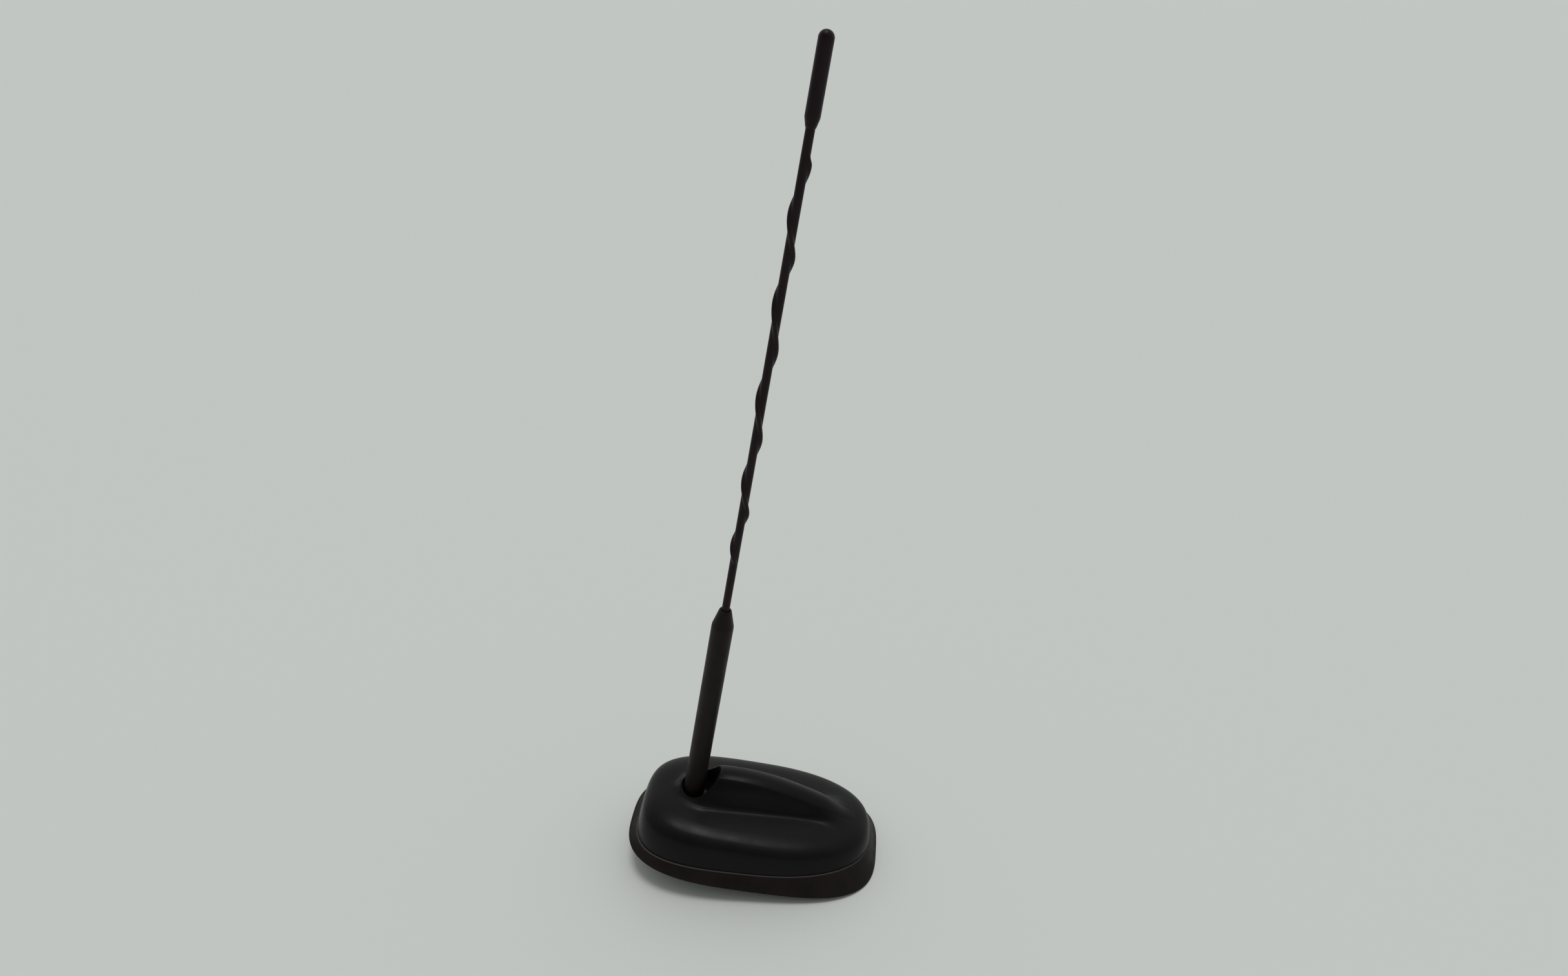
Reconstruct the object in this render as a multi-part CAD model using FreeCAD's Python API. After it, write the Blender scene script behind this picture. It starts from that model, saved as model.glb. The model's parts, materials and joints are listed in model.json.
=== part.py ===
import FreeCAD, Part
import math
import os

# Roof antenna: a rubber-skirted base that bolts to a roof, and a raked whip that unscrews from it.
# Millimetres, +Z up, +X towards the tail. Shapes are drawn about the middle of the base, then moved
# so that the origin is on the roof bolt's axis, in the plane of the gasket's foot.

V = FreeCAD.Vector

bolt_x = -24.0

# ---- base outline -------------------------------------------------------
cover_powers = (3.2, 2.4)  # how square the outline is at the nose and at the tail
foot_powers = (2.85, 3.35)
outline_taper = 0.025
outline_points = 48
cover_half_length = 65.8
cover_half_width = 37.7
seam_z = 8.0
seam_rise = 0.045
crown_z = 28.5
crown_fall = 0.036
wall = 2.4
tongue_z = 4.0
tongue_outset = 1.0

# height gained and outline lost, up the cover's side and over its crown
cover_steps = [
    (0.0, 0.0),
    (5.6, 0.45),
    (10.6, 1.5),
    (14.4, 3.5),
    (16.9, 7.4),
    (18.5, 13.6),
    (19.6, 22.2),
    (20.5, 31.2),
]
length_loss = 1.19
width_loss = 1.08
crown_half_width = 4.5

# ---- ridge behind the mast: x, top z, top half width, foot z, foot half width ----
ridge_stations = [
    (-44.0, 31.4, 4.0, 29.0, 9.0),
    (-38.0, 36.5, 5.4, 29.1, 12.4),
    (-31.0, 42.1, 6.6, 29.1, 14.6),
    (-24.0, 43.9, 7.1, 28.9, 14.4),
    (-10.0, 44.5, 7.3, 28.3, 13.2),
    (8.5, 42.4, 7.1, 27.7, 11.6),
    (25.0, 38.1, 6.8, 27.1, 10.4),
    (35.0, 34.6, 6.4, 26.7, 10.4),
    (41.0, 31.7, 5.8, 26.1, 11.2),
    (46.0, 28.4, 4.9, 25.0, 12.0),
    (51.0, 24.3, 4.2, 22.4, 12.0),
    (56.0, 19.8, 4.0, 18.6, 12.0),
]
ridge_blend = 0.44
ridge_crowning = 3.6
ridge_buried_z = 17.0

# ---- mast line ----------------------------------------------------------
mast_x = -38.4
mast_rake = 4.27
pocket_shift = 3.1
pocket_radius = 10.1
pocket_tube_radius = 12.0
pocket_floor = 19.0
pocket_floor_thickness = 2.6

stud_radius = 2.5
thread_root = 2.08
thread_pitch = 0.8
thread_foot = 9.2
thread_turns = 11
thread_fit = 0.05
socket_body_radius = 4.5
socket_foot = 7.0
socket_flange_radius = 6.5
socket_flange = 1.8
insulator_radius = 6.9

seal_inner = 2.56
seal_outer = 4.9
seal_foot = 19.3
seal_height = 2.0

grip_radius = 5.8
grip_foot = 22.0
grip_top = 144.9
grip_cone_top = 155.0
grip_cone_radius = 3.1

barrel_radius = 3.9
barrel_top = 44.0
core_radius = 0.9
core_foot = 26.0
core_top = 424.0
jacket_radius = 2.05
jacket_bore = 1.22
jacket_top = 404.0
rib_path_radius = 2.45
rib_radius = 0.95
rib_pitch = 43.0
rib_foot = 185.5
rib_top = 388.3
rib_front_height = 267.5
wire_size = 0.28
wire_path_radius = 1.06
wire_pitch = 10.0

cap_radius = 3.35
cap_foot = 400.1
cap_cone = 4.1
cap_top = 438.45

# ---- gasket, plate and boss --------------------------------------------
gasket_steps = [(0.0, 5.1), (2.5, 3.3), (5.2, 1.7), (8.0, 0.5)]
gasket_web = 2.5
window_half_length = 52.0
window_half_width = 24.0
window_powers = (3.2, 3.2)
plate_gap = 0.3
plate_top = 5.5
boss_depth = 8.7
boss_radius = 7.5
boss_seal_width = 3.4

bolt_hole_radius = 2.5
bolt_hole_length = 13.5
bolt_insert_radius = 4.5

coax_x = -13.0
coax_radius = 4.4
coax_bore = 3.3
coax_pin_radius = 0.6
boss_split_x = (bolt_x + bolt_insert_radius + coax_x - coax_radius) / 2

# ---- circuit board ------------------------------------------------------
board_x0 = -22.0
board_x1 = 40.0
board_half_width = 14.0
board_z = 9.0
board_thickness = 1.6
board_screw_places = [(-18.5, -10.5), (-18.5, 10.5), (36.5, -9.0), (36.5, 9.0)]
cover_screw_places = [(-41.0, -14.0), (-41.0, 14.0), (3.0, -18.5), (3.0, 18.5), (41.0, -14.0), (41.0, 14.0)]
post_radius = 3.2


def cylinder(radius, z0, z1, x=0.0, y=0.0):
    return Part.makeCylinder(radius, z1 - z0, V(x, y, z0))


def box(x0, x1, y0, y1, z0, z1):
    return Part.makeBox(x1 - x0, y1 - y0, z1 - z0, V(x0, y0, z0))


def turned(profile):
    """Solid of revolution about Z from (radius, height) points."""
    points = [V(r, 0, z) for r, z in profile]
    wire = Part.makePolygon(points + [points[0]])
    return Part.Face(wire).revolve(V(0, 0, 0), V(0, 0, 1), 360)


def on_mast(shape):
    """Puts a shape built on the Z axis onto the raked mast line."""
    out = shape.copy()
    out.rotate(V(0, 0, 0), V(0, 1, 0), mast_rake)
    out.translate(V(mast_x, 0, 0))
    return out


def oval(half_length, half_width, z, rise=0.0, powers=cover_powers):
    """Closed outline in a plane that climbs towards the tail by the given slope."""
    points = []
    for i in range(outline_points):
        angle = 2 * math.pi * i / outline_points
        c = math.cos(angle)
        s = math.sin(angle)
        power = powers[0] if c < 0 else powers[1]
        along = math.copysign(abs(c) ** (2 / power), c)
        x = half_length * along
        y = half_width * (1 - outline_taper * along) * math.copysign(abs(s) ** (2 / power), s)
        points.append(V(x, y, z + rise * x))
    curve = Part.BSplineCurve()
    curve.interpolate(Points=points, PeriodicFlag=True)
    return Part.Wire([curve.toShape()])


def oval_slab(half_length, half_width, z0, z1, powers=cover_powers):
    face = Part.Face(oval(half_length, half_width, z0, 0.0, powers))
    return face.extrude(V(0, 0, z1 - z0))


def stadium(radius, z0, z1):
    ends = cylinder(radius, z0, z1, bolt_x).fuse(cylinder(radius, z0, z1, coax_x))
    middle = box(bolt_x, coax_x, -radius, radius, z0, z1)
    return ends.fuse(middle).removeSplitter()


def dome(inset):
    """Crowned body of the cover, shrunk by the wall thickness for its hollow."""
    rings = []
    full = crown_z - seam_z
    for gained, lost in cover_steps:
        length = cover_half_length - lost * length_loss - inset
        width = max(cover_half_width - lost * width_loss - inset, crown_half_width)
        rise = seam_rise - (seam_rise + crown_fall) * gained / full
        if inset > 0 and gained == 0:
            rings.append(oval(length, width, tongue_z - 1.0))
        else:
            rings.append(oval(length, width, seam_z + gained - inset, rise))
    return Part.makeLoft(rings, True, False)


def ridge_height(t):
    """Flank from top (0) to foot (1) with rounded ends."""
    b = ridge_blend
    if t <= -b:
        return 1.0
    if t < b:
        return 1.0 - (t + b) ** 2 / (4 * b)
    if t <= 1 - b:
        return 1.0 - t
    if t < 1 + b:
        return (1 + b - t) ** 2 / (4 * b)
    return 0.0


def ridge_section(x, top, top_width, foot, foot_width):
    run = foot_width - top_width
    steps = [0.0, 0.5, -ridge_blend, -0.2, 0.0, 0.2, 0.4, 0.6, 0.8, 1.0, 1.2, 1 + ridge_blend]
    half = []
    for i, t in enumerate(steps):
        y = top_width * (1 - ridge_blend * run / top_width) * t if i < 2 else top_width + t * run
        z = foot + (top - foot) * (1.0 if i < 2 else ridge_height(t))
        half.append((y, z - ridge_crowning * (y / foot_width) ** 2))
    points = [V(x, -y, z) for y, z in reversed(half[1:])] + [V(x, y, z) for y, z in half]
    curve = Part.BSplineCurve()
    curve.interpolate(points)
    left = V(x, points[0].y, ridge_buried_z)
    right = V(x, points[-1].y, ridge_buried_z)
    edges = [
        curve.toShape(),
        Part.makeLine(points[-1], right),
        Part.makeLine(right, left),
        Part.makeLine(left, points[0]),
    ]
    return Part.Wire(edges)


def ridge():
    return Part.makeLoft([ridge_section(*row) for row in ridge_stations], True, False)


def ridge_hollow():
    rows = [(x, z - wall, w - 1.4, f - wall, g - 3.0) for x, z, w, f, g in ridge_stations[4:7]]
    return Part.makeLoft([ridge_section(*row) for row in rows], True, False)


def cover_screw_post(x, y):
    return cylinder(post_radius, plate_top, 40.0, x, y)


def make_cover():
    skin = dome(0.0).fuse(ridge())
    tongue_half = cover_half_length - wall + tongue_outset
    tongue_width = cover_half_width - wall + tongue_outset
    tongue_rings = [oval(tongue_half, tongue_width, tongue_z)]
    tongue_rings.append(oval(tongue_half, tongue_width, seam_z, seam_rise))
    tongue = Part.makeLoft(tongue_rings, True, True)
    seat = oval_slab(cover_half_length - wall, cover_half_width - wall, tongue_z - 1.0, plate_top + 0.2)
    hollow = dome(wall).fuse(ridge_hollow()).fuse(seat)
    shell = skin.fuse(tongue).cut(hollow)
    tube = on_mast(cylinder(pocket_tube_radius, pocket_floor - pocket_floor_thickness, 60.0, pocket_shift))
    inside = tube
    for x, y in cover_screw_places:
        inside = inside.fuse(cover_screw_post(x, y))
    trim = skin.fuse(oval_slab(cover_half_length - 6, cover_half_width - 6, plate_top, seam_z + 4))
    shell = shell.fuse(inside.common(trim))
    shell = shell.cut(on_mast(cylinder(pocket_radius, pocket_floor, 70.0, pocket_shift)))
    shell = shell.cut(on_mast(cylinder(socket_body_radius, 10.0, 30.0)))
    for x, y in cover_screw_places:
        shell = shell.cut(cylinder(1.4, 0.0, 15.0, x, y))
    return shell


def make_gasket():
    rings = []
    for z, out in gasket_steps:
        share = z / seam_z
        powers = [foot * (1 - share) + top * share for foot, top in zip(foot_powers, cover_powers)]
        rings.append(oval(cover_half_length + out, cover_half_width + out, z, seam_rise * share, powers))
    body = Part.makeLoft(rings, True, False)
    inner = cover_half_length - wall
    inner_width = cover_half_width - wall
    body = body.cut(oval_slab(inner, inner_width, gasket_web, 20.0))
    body = body.cut(oval_slab(inner + tongue_outset, inner_width + tongue_outset, tongue_z, 20.0))
    return body.cut(oval_slab(window_half_length, window_half_width, -5.0, 10.0, window_powers))


def make_plate():
    half_length = cover_half_length - wall - plate_gap
    half_width = cover_half_width - wall - plate_gap
    plate = oval_slab(half_length, half_width, gasket_web, plate_top)
    for x in (-30.0, -18.5, 12.0, 24.0, 36.0):
        plate = plate.fuse(box(x - 0.8, x + 0.8, -18.5, 18.5, 1.0, gasket_web))
    for y in (-14.0, 0.0, 14.0):
        plate = plate.fuse(box(-37.9, 37.9, y - 0.8, y + 0.8, 1.0, gasket_web))
    plate = plate.cut(stadium(boss_radius + boss_seal_width + 0.3, -1.0, gasket_web))
    plate = plate.cut(stadium(boss_radius, -1.0, plate_top + 1))
    for x, y in board_screw_places:
        plate = plate.fuse(cylinder(3.0, plate_top, board_z, x, y))
    for x, y in board_screw_places:
        plate = plate.cut(cylinder(1.1, 3.5, board_z + 1, x, y))
    for x, y in cover_screw_places:
        plate = plate.fuse(cylinder(3.8, 1.6, gasket_web, x, y))
        plate = plate.cut(cylinder(1.65, 0.0, plate_top + 1, x, y))
    return plate


def make_roof_boss():
    """Bolt's end of the boss, up to the wall between its two holes."""
    boss = stadium(boss_radius, -boss_depth, plate_top)
    boss = boss.cut(box(boss_split_x, 0.0, -20.0, 20.0, -20.0, 20.0))
    return boss.cut(cylinder(bolt_insert_radius, -20.0, 20.0, bolt_x))


def make_coax_collar():
    """Moulded collar that fills the rest of the boss and holds the coaxial socket."""
    collar = stadium(boss_radius, -boss_depth, plate_top)
    collar = collar.cut(box(-60.0, boss_split_x, -20.0, 20.0, -20.0, 20.0))
    return collar.cut(cylinder(coax_radius, -20.0, 20.0, coax_x))


def make_boss_seal():
    ring = stadium(boss_radius + boss_seal_width, 0.0, gasket_web)
    return ring.cut(stadium(boss_radius, -1.0, 10.0))


def make_roof_bolt_insert():
    body = cylinder(bolt_insert_radius, -boss_depth, plate_top + 1.5, bolt_x)
    return body.cut(cylinder(bolt_hole_radius, -boss_depth, -boss_depth + bolt_hole_length, bolt_x))


def make_coax_socket_shell():
    body = cylinder(coax_radius, -boss_depth + 0.4, 7.0, coax_x)
    body = body.fuse(cylinder(coax_radius + 0.8, plate_top, plate_top + 1.0, coax_x))
    return body.cut(cylinder(coax_bore, -20.0, 20.0, coax_x))


def make_coax_socket_insulator():
    body = cylinder(coax_bore, -0.2, 7.0, coax_x)
    return body.cut(cylinder(coax_pin_radius, -5.0, 10.0, coax_x))


def make_coax_centre_pin():
    pin = cylinder(coax_pin_radius, -3.1, board_z + board_thickness + 0.8, coax_x)
    tip = Part.makeCone(0.3, coax_pin_radius, 0.5, V(coax_x, 0, -3.6))
    return pin.fuse(tip)


def make_board():
    board = box(board_x0, board_x1, -board_half_width, board_half_width, board_z, board_z + board_thickness)
    board = board.cut(box(board_x0 - 1, board_x0 + 2.5, -4.0, 4.0, 0, 20))
    for x, y in board_screw_places:
        board = board.cut(cylinder(1.4, 0, 20, x, y))
    for x, y in cover_screw_places:
        board = board.cut(cylinder(post_radius + 0.4, 0, 20, x, y))
    return board.cut(cylinder(coax_pin_radius, 0, 20, coax_x))


def pan_screw(x, y, head_z, up, head_radius, head_height, shank_radius, length):
    """Pan head screw with a cross recess; up is +1 when the shank points up."""
    head = Part.makeCylinder(head_radius, head_height, V(x, y, 0), V(0, 0, -1))
    outer_edges = [e for e in head.Edges if abs(e.CenterOfMass.z + head_height) < 0.01]
    head = head.makeFillet(head_height * 0.45, outer_edges)
    slot = head_radius * 0.62
    for sx, sy in ((slot, 0.35), (0.35, slot)):
        head = head.cut(box(x - sx, x + sx, y - sy, y + sy, -head_height - 1, -head_height + 0.9))
    shank = Part.makeCylinder(shank_radius, length - 0.8, V(x, y, 0))
    point = Part.makeCone(shank_radius, shank_radius * 0.5, 0.8, V(x, y, length - 0.8))
    screw = head.fuse(shank).fuse(point).removeSplitter()
    if up < 0:
        screw.rotate(V(x, y, 0), V(1, 0, 0), 180)
    screw.translate(V(0, 0, head_z))
    return screw


def make_board_screws():
    top = board_z + board_thickness
    return Part.makeCompound([pan_screw(x, y, top, -1, 2.2, 1.5, 1.1, 5.5) for x, y in board_screw_places])


def make_cover_screws():
    return Part.makeCompound([pan_screw(x, y, 1.6, 1, 2.8, 1.5, 1.4, 11.0) for x, y in cover_screw_places])


def make_shield_can():
    top = board_z + board_thickness
    can = box(18.0, 33.5, -9.5, 9.5, top, top + 5.0)
    upright = [e for e in can.Edges if abs(e.tangentAt(e.FirstParameter).z) > 0.9]
    can = can.makeFillet(1.0, upright)
    can = can.cut(box(18.3, 33.2, -9.2, 9.2, top - 1, top + 4.7))
    for x in (21.5, 25.75, 30.0):
        for y in (-5.5, 0.0, 5.5):
            can = can.cut(cylinder(0.8, top + 4, top + 6, x, y))
    return can


def air_coil(x, y, z, turns, radius, wire):
    path = Part.makeHelix(wire * 2.3, wire * 2.3 * turns, radius)
    along = V(0, 2 * math.pi * radius, wire * 2.3)
    section = Part.Wire([Part.makeCircle(wire, V(radius, 0, 0), along)])
    coil = Part.Wire(path.Edges).makePipeShell([section], True, True)
    coil.rotate(V(0, 0, 0), V(0, 1, 0), 90)
    coil.translate(V(x, y, z + radius + wire))
    return coil


def make_board_coils():
    top = board_z + board_thickness
    return Part.makeCompound([air_coil(-15.0, y, top, 5, 1.8, 0.3) for y in (-5.8, 5.8)])


def make_board_capacitors():
    top = board_z + board_thickness
    cans = []
    for x, y in ((-6.0, -10.0), (0.5, -10.0), (7.0, -10.0)):
        cans.append(cylinder(2.5, top, top + 5.5, x, y))
    return Part.makeCompound(cans)


def make_board_chips():
    top = board_z + board_thickness
    chips = [box(-6.0, 0.0, -3.0, 3.0, top, top + 1.3), box(-5.0, -1.5, 6.5, 11.0, top, top + 1.1)]
    chips.append(box(22.0, 27.0, -3.0, 3.0, top, top + 1.2))
    return Part.makeCompound(chips)


def make_board_resistors():
    top = board_z + board_thickness
    places = [(3.5, -2.0), (3.5, 0.0), (3.5, 2.0), (4.0, 8.0)]
    places += [(6.5, 8.0), (9.0, 8.0), (-9.5, 0.0), (-9.5, 2.5)]
    return Part.makeCompound([box(x, x + 1.6, y - 0.4, y + 0.4, top, top + 0.5) for x, y in places])


def make_mast_socket_insert():
    floor_under = pocket_floor - pocket_floor_thickness
    body = cylinder(socket_body_radius, socket_foot, pocket_floor)
    body = body.fuse(cylinder(socket_flange_radius, floor_under - socket_flange, floor_under))
    body = body.cut(cylinder(stud_radius + thread_fit, socket_foot + 1.2, pocket_floor + 1))
    return on_mast(body)


def make_socket_insulator():
    top = pocket_floor - pocket_floor_thickness - socket_flange - 0.5
    cup = cylinder(insulator_radius, 0.0, top)
    cup = on_mast(cup.cut(cylinder(socket_body_radius, socket_foot, top + 1)))
    return cup.common(box(-60.0, 0.0, -20.0, 20.0, plate_top, 30.0))


def make_contact_clip():
    under = pocket_floor - pocket_floor_thickness - socket_flange
    washer = on_mast(cylinder(insulator_radius, under - 0.5, under).cut(cylinder(socket_body_radius, 0, 40)))
    z = 14.1
    x_start = mast_x + insulator_radius + 0.3
    x_bend = -18.2
    foot = board_z + board_thickness
    outline = [
        V(x_start, 0, z),
        V(x_bend, 0, z),
        V(x_bend, 0, foot + 0.5),
        V(x_bend + 2.5, 0, foot + 0.5),
        V(x_bend + 2.5, 0, foot),
        V(x_bend - 0.5, 0, foot),
        V(x_bend - 0.5, 0, z - 0.5),
        V(x_start, 0, z - 0.5),
    ]
    strip = Part.Face(Part.makePolygon(outline + [outline[0]])).extrude(V(0, 4.0, 0))
    strip.translate(V(0, -2.0, 0))
    return washer.fuse(strip).removeSplitter()


def make_seal_ring():
    profile = [
        (seal_inner, seal_foot),
        (seal_outer - 0.5, seal_foot),
        (seal_outer, seal_foot + 0.5),
        (seal_outer, seal_foot + seal_height - 0.5),
        (seal_outer - 0.5, seal_foot + seal_height),
        (seal_inner, seal_foot + seal_height),
    ]
    return on_mast(turned(profile))


def make_stud():
    profile = [(0.0, thread_foot), (thread_root, thread_foot)]
    for i in range(thread_turns):
        z = thread_foot + 0.2 + i * thread_pitch
        profile += [(thread_root, z), (stud_radius, z + 0.25)]
        profile += [(stud_radius, z + 0.4), (thread_root, z + 0.65)]
    neck = thread_foot + 0.4 + thread_turns * thread_pitch
    profile += [(thread_root, neck), (stud_radius, neck + 0.4), (stud_radius, 21.6)]
    profile += [(4.8, 21.6), (4.8, 23.2), (barrel_radius, 23.2)]
    for z in (28.0, 33.0, 38.0):
        groove = barrel_radius - 0.4
        profile += [(barrel_radius, z), (groove, z + 0.4), (groove, z + 1.6), (barrel_radius, z + 2.0)]
    profile += [(barrel_radius, barrel_top), (core_radius, barrel_top)]
    profile += [(core_radius, core_foot), (0.0, core_foot)]
    return on_mast(turned(profile))


def make_core():
    return on_mast(cylinder(core_radius, core_foot, core_top))


def make_winding():
    """Square copper wire wound in an open spiral round the core."""
    coil_foot = barrel_top + 1.5
    path = Part.makeHelix(wire_pitch, cap_foot - coil_foot, wire_path_radius)
    half = wire_size / 2
    lean = math.atan2(wire_pitch, 2 * math.pi * wire_path_radius)
    up = V(0, -math.sin(lean), math.cos(lean)) * half
    out = V(half, 0, 0)
    middle = V(wire_path_radius, 0, 0)
    corners = [middle - out - up, middle + out - up, middle + out + up, middle - out + up]
    section = Part.makePolygon(corners + [corners[0]])
    coil = Part.Wire(path.Edges).makePipeShell([section], True, True)
    coil.translate(V(0, 0, coil_foot))
    return on_mast(coil)


def left_handed_rib():
    path = Part.makeHelix(rib_pitch, rib_top - rib_foot, rib_path_radius, 0, True)
    along = V(0, -2 * math.pi * rib_path_radius, rib_pitch)
    section = Part.Wire([Part.makeCircle(rib_radius, V(rib_path_radius, 0, 0), along)])
    rib = Part.Wire(path.Edges).makePipeShell([section], True, True)
    rib.rotate(V(0, 0, 0), V(0, 0, 1), -90.0 - (rib_foot - rib_front_height) * 360.0 / rib_pitch)
    rib.translate(V(0, 0, rib_foot))
    return rib


def make_jacket():
    tube = cylinder(jacket_radius, barrel_top, jacket_top).cut(cylinder(jacket_bore, 0, 500))
    return on_mast(tube.fuse(left_handed_rib()))


def make_grip():
    profile = [
        (4.8, grip_foot),
        (grip_radius - 0.4, grip_foot),
        (grip_radius, grip_foot + 0.4),
        (grip_radius, grip_top - 0.6),
        (grip_radius - 0.2, grip_top + 0.3),
        (grip_cone_radius + 0.3, grip_cone_top - 0.9),
        (grip_cone_radius - 0.3, grip_cone_top),
        (jacket_radius, grip_cone_top),
        (jacket_radius, barrel_top),
        (barrel_radius, barrel_top),
        (barrel_radius, 23.2),
        (4.8, 23.2),
    ]
    return on_mast(turned(profile))


def make_tip_cap():
    ball = cap_top - cap_radius
    body = turned([
        (0.0, cap_foot),
        (jacket_radius + 0.15, cap_foot),
        (cap_radius, cap_foot + cap_cone),
        (cap_radius, ball),
        (0.0, ball),
    ])
    body = body.fuse(Part.makeSphere(cap_radius, V(0, 0, ball)))
    body = body.cut(cylinder(jacket_radius, 300.0, jacket_top))
    body = body.cut(cylinder(core_radius, 300.0, core_top))
    return on_mast(body.removeSplitter())


nodes = {
    "base_cover": make_cover,
    "base_gasket": make_gasket,
    "base_plate": make_plate,
    "roof_boss": make_roof_boss,
    "coax_collar": make_coax_collar,
    "boss_seal": make_boss_seal,
    "roof_bolt_insert": make_roof_bolt_insert,
    "coax_socket_shell": make_coax_socket_shell,
    "coax_socket_insulator": make_coax_socket_insulator,
    "coax_centre_pin": make_coax_centre_pin,
    "amplifier_board": make_board,
    "shield_can": make_shield_can,
    "board_coils": make_board_coils,
    "board_capacitors": make_board_capacitors,
    "board_chips": make_board_chips,
    "board_resistors": make_board_resistors,
    "board_screws": make_board_screws,
    "cover_screws": make_cover_screws,
    "mast_socket_insert": make_mast_socket_insert,
    "socket_insulator": make_socket_insulator,
    "contact_clip": make_contact_clip,
    "mast_seal_ring": make_seal_ring,
    "mast_stud": make_stud,
    "mast_core": make_core,
    "mast_winding": make_winding,
    "mast_jacket": make_jacket,
    "mast_grip": make_grip,
    "mast_tip_cap": make_tip_cap,
}

os.makedirs("parts", exist_ok=True)
for name, make in nodes.items():
    shape = make()
    if len(shape.Solids) == 1:
        shape = shape.Solids[0]
    shape.translate(V(-bolt_x, 0, 0))
    shape.exportStep("parts/" + name + ".step")
    print(name, len(shape.Solids), shape.isValid(), round(shape.Volume, 1))
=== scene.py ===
"""Looks of a roof antenna: moulded cover, rubber skirt, and the whip that screws into it.

Lengths are in millimetres until they reach a mesh. Shapes are drawn about the middle of the base,
as the part is, and then moved by BASE_SHIFT so that the roof bolt's axis is the origin.
"""
import json
import math

import bmesh
import bpy
import numpy as np
from mathutils import Euler, Matrix, Vector


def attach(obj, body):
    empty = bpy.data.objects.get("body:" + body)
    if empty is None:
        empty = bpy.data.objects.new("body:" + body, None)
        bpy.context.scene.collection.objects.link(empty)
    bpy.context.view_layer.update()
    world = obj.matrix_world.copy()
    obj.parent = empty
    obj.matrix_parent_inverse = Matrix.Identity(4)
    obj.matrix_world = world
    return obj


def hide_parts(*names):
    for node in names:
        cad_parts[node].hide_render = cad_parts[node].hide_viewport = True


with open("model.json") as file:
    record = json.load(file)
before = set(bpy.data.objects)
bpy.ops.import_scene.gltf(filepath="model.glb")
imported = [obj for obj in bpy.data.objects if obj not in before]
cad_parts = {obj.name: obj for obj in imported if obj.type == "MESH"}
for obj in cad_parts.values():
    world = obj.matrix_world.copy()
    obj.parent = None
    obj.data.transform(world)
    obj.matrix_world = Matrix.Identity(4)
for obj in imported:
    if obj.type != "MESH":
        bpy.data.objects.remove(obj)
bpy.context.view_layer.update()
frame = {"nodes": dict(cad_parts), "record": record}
nodes = frame["nodes"]

MM = 0.001
BASE_SHIFT = 24.0

# ---- base ---------------------------------------------------------------
# how square the outline is at the nose and at the tail
COVER_POWERS = (3.2, 2.4)
FOOT_POWERS = (2.85, 3.35)
WINDOW_POWERS = (3.2, 3.2)
# how much narrower the outline gets towards the tail
OUTLINE_TAPER = 0.025
COVER_HALF_LENGTH = 65.8
COVER_HALF_WIDTH = 37.7
WINDOW_HALF_LENGTH = 52.0
WINDOW_HALF_WIDTH = 24.0
# the seam rises towards the tail and the crown falls, both per millimetre of length
SEAM_Z = 8.0
SEAM_RISE = 0.045
CROWN_Z = 28.5
CROWN_FALL = 0.036
WALL = 2.4
TONGUE_Z = 4.0
TONGUE_OUTSET = 1.0
# height gained over the seam, and outline lost, up the cover's side and over its crown
SIDE_RISE = np.array([0.0, 2.8, 5.6, 8.2, 10.6, 12.7, 14.4, 15.8, 16.9, 17.8, 18.5, 19.1, 19.6, 20.1, 20.5])
SIDE_LOST = np.array([0.0, 0.15, 0.45, 0.9, 1.5, 2.3, 3.5, 5.2, 7.4, 10.2, 13.6, 17.6, 22.2, 27.0, 31.2])
LENGTH_LOSS = 1.19
WIDTH_LOSS = 1.08
# outline lost at the shoulder, where the crown's rows hand over to the side's
SHOULDER_LOST = 9.0

# ---- ridge behind the mast: x, top z, top half width, foot z, foot half width
RIDGE = np.array([
    (-44.0, 31.4, 4.0, 29.0, 9.0),
    (-38.0, 36.5, 5.4, 29.1, 12.4),
    (-31.0, 42.1, 6.6, 29.1, 14.6),
    (-24.0, 43.9, 7.1, 28.9, 14.4),
    (-10.0, 44.5, 7.3, 28.3, 13.2),
    (8.5, 42.4, 7.1, 27.7, 11.6),
    (25.0, 38.1, 6.8, 27.1, 10.4),
    (35.0, 34.6, 6.4, 26.7, 10.4),
    (41.0, 31.7, 5.8, 26.1, 11.2),
    (46.0, 27.7, 4.9, 24.6, 12.0),
    (51.0, 22.6, 4.2, 21.0, 12.0),
    (56.0, 17.0, 4.0, 16.0, 12.0),
])
# share of the flank's width that each of its two bends reaches past its corner
RIDGE_BLEND = 0.34
RIDGE_CROWNING = 3.6
TOP_CROWNING = 1.3
TOP_RISE = 0.4
# fall of the ridge beyond its foot, and beyond its two ends
BURIED_SLOPE = 0.8
RIDGE_END_SLOPE = 2.0
FOOT_BLEND = 2.5

# ---- mast line ----------------------------------------------------------
MAST_X = -38.4
MAST_RAKE = math.radians(4.27)
POCKET_SHIFT = 3.1
POCKET_RADIUS = 10.1
POCKET_TUBE_RADIUS = 12.0
POCKET_FLOOR = 19.0
POCKET_FLOOR_THICKNESS = 2.6
POCKET_CORNER = 1.0
RIM_ROUND = 0.55
SOCKET_HOLE = 4.55
HOLE_CHAMFER = 0.3
# radius and share of the pocket's shift, for the rings under the tube's foot
TUBE_FOOT_RINGS = ((10.0, 0.6), (7.0, 0.2))

GRIP_RADIUS = 5.8
GRIP_FOOT = 22.0
GRIP_TOP = 144.9
GRIP_CONE_TOP = 155.0
BARREL_RADIUS = 3.9
BARREL_TOP = 44.0
COLLAR_RADIUS = 4.8
COLLAR_TOP = 23.2

WHIP_RADIUS = 2.05
WHIP_BORE = 1.22
WHIP_TOP = 404.0
RIB_HEIGHT = 1.3
RIB_HALF_ANGLE = math.radians(44)
RIB_FOOT = 185.5
RIB_TOP = 388.3
RIB_FADE = 3.0
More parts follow.
